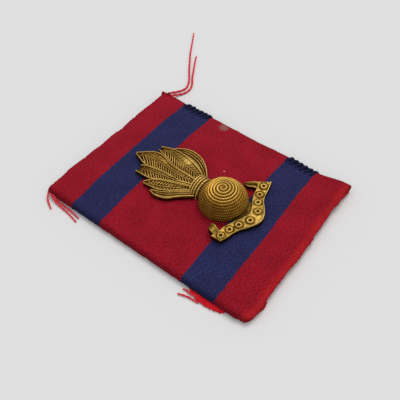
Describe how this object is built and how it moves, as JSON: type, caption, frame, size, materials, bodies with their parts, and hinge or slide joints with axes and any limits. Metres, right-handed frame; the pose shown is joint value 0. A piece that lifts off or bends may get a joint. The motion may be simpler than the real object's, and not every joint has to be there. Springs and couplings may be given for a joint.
{
  "type": "flaming grenade cap badge on striped webbing",
  "caption": "Brass flaming-grenade cap badge with a plain scroll, pinned through a square of red and navy striped webbing with frayed edges.",
  "frame": {"origin": "under the middle of the webbing patch, on the surface that its turned-under ends rest on", "axes": "+Z out of the badge's face, +Y up the badge towards the flame's tip, +X along the webbing's stripes"},
  "size_m": [0.08, 0.0756, 0.0086],
  "materials": {
    "webbing": "ribbed weave, matt",
    "card": "grey-brown board",
    "navy_thread": "twisted thread",
    "red_thread": "loose yarn",
    "badge_brass": "worn, dark in the recesses",
    "wire_brass": "drawn wire",
    "plate_brass": "rolled sheet",
    "solder": "soft solder"
  },
  "bodies": {
    "patch": {"ribbon": "webbing", "stiffener_card": "card", "overcast_stitches": "navy_thread", "flame_plume": "badge_brass", "neck_collar": "badge_brass", "grenade_ball": "badge_brass", "scroll": "badge_brass", "scroll_tail_left": "badge_brass", "scroll_tail_right": "badge_brass", "lug_upper": "wire_brass", "lug_lower": "wire_brass", "lug_solder": "solder", "backing_plate": "plate_brass", "long_thread": "red_thread", "short_thread": "red_thread", "corner_frays": "red_thread", "frayed_tuft": "red_thread"},
    "pin": {"split_pin": "wire_brass"}
  },
  "joints": [
    {"name": "pin_slide", "type": "slide", "parent": "patch", "child": "pin", "axis": [-0.0262, 0.9997, 0], "range_m": [0, 0.032]}
  ]
}
